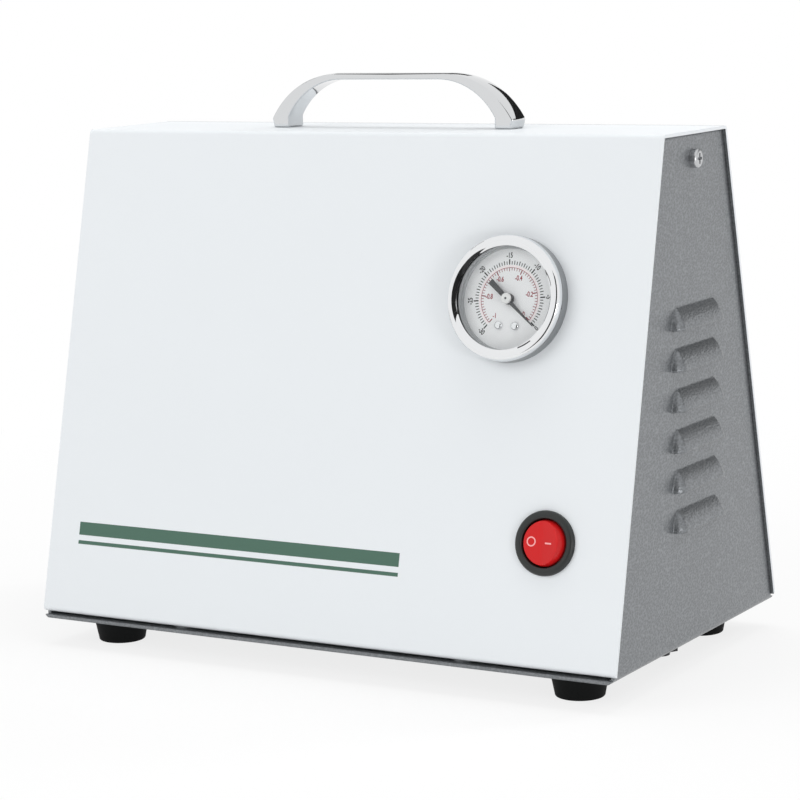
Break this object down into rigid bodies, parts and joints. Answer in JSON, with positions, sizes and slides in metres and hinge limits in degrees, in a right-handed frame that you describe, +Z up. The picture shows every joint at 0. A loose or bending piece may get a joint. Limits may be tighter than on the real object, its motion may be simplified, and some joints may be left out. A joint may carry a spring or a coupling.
{
  "type": "diaphragm vacuum pump",
  "caption": "Bench-top diaphragm vacuum pump in a sloping sheet-metal case with a carrying handle, dial vacuum gauge, rocker switch, side louvers, rubber feet and rear hose nozzles.",
  "frame": {"origin": "on the floor under the middle of the casing and its feet", "axes": "+Z up, +X along the casing towards the gauge end, -Y out of the front panel"},
  "size_m": [0.2506, 0.142, 0.216],
  "materials": {
    "white_paint": "smooth satin powder coat",
    "gray_hammer_paint": "hammertone enamel with a fine dimpled texture",
    "handle_chrome": "polished chrome on cast zinc",
    "gauge_chrome": "polished chrome",
    "zinc_steel": "zinc plated steel",
    "black_rubber": "matte moulded rubber",
    "switch_black": "fine moulded matte",
    "rocker_red": "glossy red with pale printed marks",
    "brass": "turned brass",
    "nickel_brass": "nickel plated brass",
    "gauge_glass": "clear window",
    "dial_print": "light gray dial with printed scales",
    "pointer_gray": "dark gray painted aluminium",
    "gauge_black": "black stoved steel",
    "inlet_black": "moulded thermoplastic",
    "fuse_glass": "glass tube with metal caps",
    "clear_hose": "translucent silicone hose",
    "cast_aluminium": "cast aluminium with machined faces",
    "moulded_head": "die cast aluminium with cooling fins",
    "lamination_steel": "stacked varnished steel laminations",
    "winding_copper": "varnished copper wire",
    "ground_steel": "ground steel",
    "fan_plastic": "moulded nylon",
    "diaphragm_rubber": "moulded elastomer",
    "valve_rubber": "calendered elastomer sheet",
    "capacitor_can": "drawn aluminium can",
    "wire_sheath": "insulated copper wire"
  },
  "bodies": {
    "housing": {"chassis": "gray_hammer_paint", "cover": "white_paint", "handle": "handle_chrome", "handle_screws": "zinc_steel", "side_screws": "zinc_steel", "base_screws": "zinc_steel", "rubber_feet": "black_rubber", "foot_screws": "zinc_steel", "switch_body": "switch_black", "switch_terminals": "brass", "gauge_bezel": "gauge_chrome", "gauge_lens": "gauge_glass", "gauge_case": "gauge_black", "gauge_dial": "dial_print", "gauge_dial_screws": "zinc_steel", "gauge_movement_frame": "brass", "bourdon_tube": "brass", "gauge_socket": "brass", "gauge_clamp": "zinc_steel", "power_inlet": "inlet_black", "inlet_pins": "nickel_brass", "inlet_screws": "zinc_steel", "vacuum_nozzle": "nickel_brass", "exhaust_nozzle": "nickel_brass", "hose_fittings": "brass", "hoses": "clear_hose", "vibration_mounts": "black_rubber", "mount_studs": "zinc_steel", "mounting_plate": "zinc_steel", "unit_screws": "zinc_steel", "fixing_nuts": "zinc_steel", "crankcase": "cast_aluminium", "fan_end_bell": "cast_aluminium", "stator_core": "lamination_steel", "stator_windings": "winding_copper", "motor_tie_bolts": "zinc_steel", "bearing_outer_rings": "ground_steel", "diaphragm": "diaphragm_rubber", "valve_plate": "cast_aluminium", "valve_sheet": "valve_rubber", "head_cover": "moulded_head", "head_screws": "zinc_steel", "capacitor": "capacitor_can", "wiring": "wire_sheath"},
    "rotor": {"motor_shaft": "ground_steel", "rotor_core": "lamination_steel", "cooling_fan": "fan_plastic", "bearing_inner_rings": "ground_steel", "crank_eccentric": "lamination_steel"},
    "connecting_rod": {"connecting_rod": "cast_aluminium", "crank_bearing": "ground_steel", "clamp_disc": "cast_aluminium", "clamp_screw": "zinc_steel"},
    "rocker": {"switch_rocker": "rocker_red"},
    "pointer": {"gauge_pointer": "pointer_gray", "gauge_pinion": "brass"},
    "sector": {"gauge_sector": "brass"},
    "fuse_drawer": {"fuse_drawer": "inlet_black", "fuse": "fuse_glass"}
  },
  "joints": [
    {"name": "motor_spin", "type": "hinge", "parent": "housing", "child": "rotor", "pos_m": [0, 0, 0.0697], "axis": [1, 0, 0], "continuous": true},
    {"name": "crank_pin_turn", "type": "hinge", "parent": "rotor", "child": "connecting_rod", "pos_m": [-0.08, 0, 0.0732], "axis": [1, 0, 0], "continuous": true, "deforming": ["diaphragm"]},
    {"name": "rocker_tip", "type": "hinge", "parent": "housing", "child": "rocker", "pos_m": [0.0912, -0.0588, 0.05529], "axis": [0, 0.2314, 0.9729], "range_deg": [0, 18]},
    {"name": "pointer_turn", "type": "hinge", "parent": "housing", "child": "pointer", "pos_m": [0.0689, -0.04069, 0.13795], "axis": [0, -0.9729, 0.2314], "range_deg": [0, 270]},
    {"name": "sector_turn", "type": "hinge", "parent": "housing", "child": "sector", "pos_m": [0.0581, -0.04069, 0.13795], "axis": [0, -0.9729, 0.2314], "range_deg": [-54, 0]},
    {"name": "fuse_drawer_slide", "type": "slide", "parent": "housing", "child": "fuse_drawer", "axis": [0, 0.9729, 0.2314], "range_m": [0, 0.018]}
  ],
  "couplings": [
    {"joint": "crank_pin_turn", "follows": "motor_spin", "ratio": -1},
    {"joint": "sector_turn", "follows": "pointer_turn", "ratio": -0.2}
  ]
}
